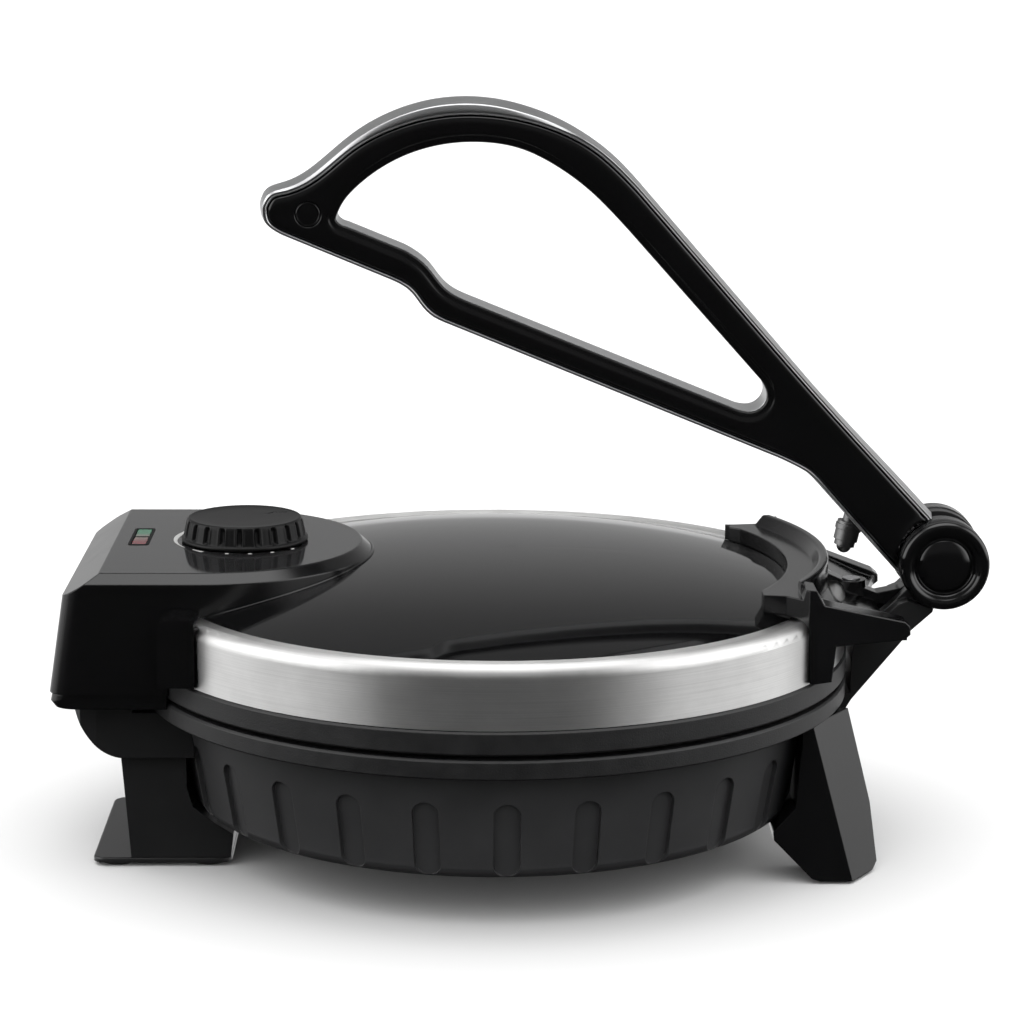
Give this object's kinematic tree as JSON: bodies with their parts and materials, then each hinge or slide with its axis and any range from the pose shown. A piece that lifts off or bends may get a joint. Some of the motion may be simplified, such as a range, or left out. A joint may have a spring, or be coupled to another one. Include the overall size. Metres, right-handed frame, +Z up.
{
  "type": "electric roti maker",
  "caption": "Countertop flatbread cooker: round coated plates, domed hinged lid with steel band, front thermostat housing and a long loop handle that presses the lid down.",
  "frame": {"origin": "centre of the bounding box's bottom face: the point on the table under the middle of the overall length and width", "axes": "+X from the control housing to the hinge, +Y across (the hinge axis), +Z up"},
  "size_m": [0.3559, 0.2724, 0.2904],
  "materials": {
    "pan_dark_grey": "satin dark grey heat-proof moulding with recessed flutes",
    "plate_coated": "cast aluminium with a rough matt black non-stick coat",
    "element_sheath": "dull oxidised heater sheath",
    "tinned_steel": "plain tinned steel sheet",
    "black_satin": "satin black moulded plastic",
    "black_gloss": "semi-gloss black moulded plastic",
    "foot_rubber": "matt black rubber",
    "zinc_steel": "bright zinc-plated steel",
    "ceramic": "off-white glazed ceramic and phenolic",
    "brushed_stainless": "stainless steel brushed round the rim",
    "dome_black": "deep gloss black dome",
    "housing_black": "satin-gloss black moulded housing",
    "panel_black": "gloss black panel with pale printed dial marks",
    "lens_green": "translucent green lamp lens",
    "lens_red": "translucent red lamp lens",
    "lamp_glass": "small neon lamp glass",
    "brass": "bare brass",
    "handle_silver": "satin silver handle frame",
    "inlay_black": "high-gloss black handle inlay",
    "cap_black": "gloss black dished cap",
    "presser_grey": "dull grey steel",
    "knob_black": "matt black fluted knob with a pointer notch"
  },
  "bodies": {
    "base": {"base_pan": "pan_dark_grey", "lower_plate": "plate_coated", "lower_element": "element_sheath", "lower_heat_shield": "tinned_steel", "front_leg": "black_satin", "front_shelf": "black_satin", "front_foot_plate": "black_satin", "front_foot_pads": "foot_rubber", "rear_leg_near": "black_gloss", "rear_leg_far": "black_gloss", "rear_foot_pads": "foot_rubber", "rear_hinge_bracket": "black_satin", "bracket_screws": "zinc_steel", "plate_screws": "zinc_steel", "hinge_pin": "zinc_steel", "pin_clips": "zinc_steel", "cord_grommet": "foot_rubber", "terminal_block": "ceramic"},
    "lid": {"upper_plate": "plate_coated", "upper_element": "element_sheath", "heat_reflector": "tinned_steel", "reflector_screws": "zinc_steel", "steel_band": "brushed_stainless", "lid_dome": "dome_black", "control_housing": "housing_black", "housing_base_cover": "black_satin", "control_panel": "panel_black", "lamp_bezel": "panel_black", "lamp_lens_green": "lens_green", "lamp_lens_red": "lens_red", "neon_lamps": "lamp_glass", "thermostat_body": "ceramic", "thermostat_bush": "brass", "thermostat_terminals": "brass", "lid_rear_bracket": "black_gloss", "pressure_pad": "zinc_steel"},
    "handle": {"handle_frame": "handle_silver", "handle_inlay_near": "inlay_black", "handle_inlay_far": "inlay_black", "handle_screw_plugs": "black_satin", "handle_cheek_near": "black_gloss", "handle_cheek_far": "black_gloss", "hinge_cap_near": "cap_black", "hinge_cap_far": "cap_black", "presser_sleeve": "presser_grey", "pressure_screw": "presser_grey"},
    "knob": {"control_knob": "knob_black", "thermostat_shaft": "zinc_steel", "knob_spring_clip": "zinc_steel"}
  },
  "joints": [
    {"name": "lid_hinge", "type": "hinge", "parent": "base", "child": "lid", "pos_m": [0.16075, 0, 0.1132], "axis": [0, 1, 0], "range_deg": [0, 100]},
    {"name": "handle_hinge", "type": "hinge", "parent": "lid", "child": "handle", "pos_m": [0.16075, 0, 0.1132], "axis": [0, 1, 0], "range_deg": [-15, 0]},
    {"name": "knob_turn", "type": "hinge", "parent": "lid", "child": "knob", "pos_m": [-0.10835, 0, 0.1198], "axis": [0, 0, -1], "range_deg": [0, 270]}
  ]
}
